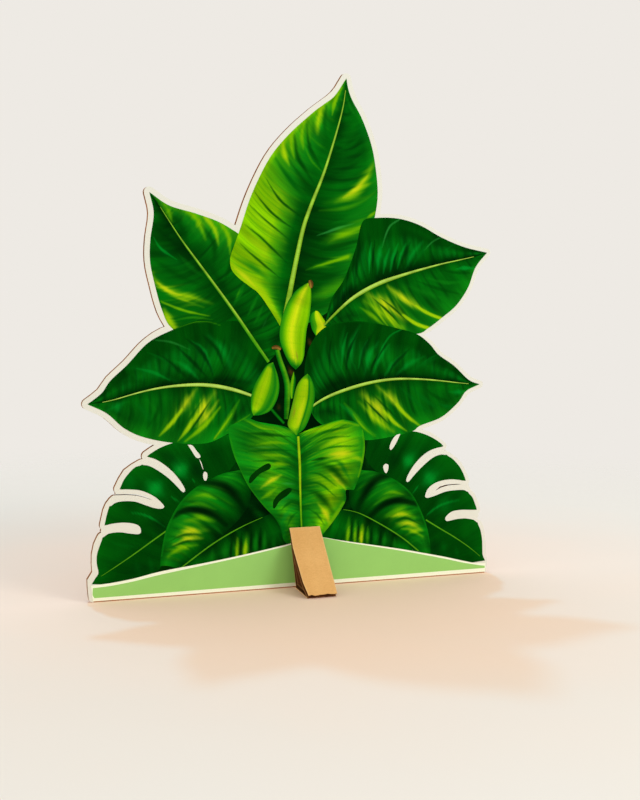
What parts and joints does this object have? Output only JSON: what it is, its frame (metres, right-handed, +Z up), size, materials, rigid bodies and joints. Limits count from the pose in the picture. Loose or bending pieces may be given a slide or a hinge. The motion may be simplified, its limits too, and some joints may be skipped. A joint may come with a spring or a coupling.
{
  "type": "die-cut cardboard standee with a tropical leaf print",
  "caption": "Flat corrugated board cut round printed banana and split leaves, standing on folded strip feet at the front and back.",
  "frame": {"origin": "on the table, at the middle of the object's width and depth", "axes": "+Z up the board, -Y out of the printed face, +X to the right as seen from the front"},
  "size_m": [0.2514, 0.0664, 0.3003],
  "materials": {
    "print_paper": "satin",
    "kraft_liner": "matte",
    "kraft_medium": "matte",
    "tape": "matte"
  },
  "bodies": {
    "root": {"printed_face_sheet": "print_paper", "board_fluting": "kraft_medium", "board_back_liner": "kraft_liner", "front_foot_outer_liner": "kraft_liner", "front_foot_fluting": "kraft_medium", "front_foot_inner_liner": "kraft_liner", "front_foot_tape": "tape", "rear_foot_outer_liner": "kraft_liner", "rear_foot_fluting": "kraft_medium", "rear_foot_inner_liner": "kraft_liner", "rear_foot_tape": "tape"}
  },
  "joints": []
}
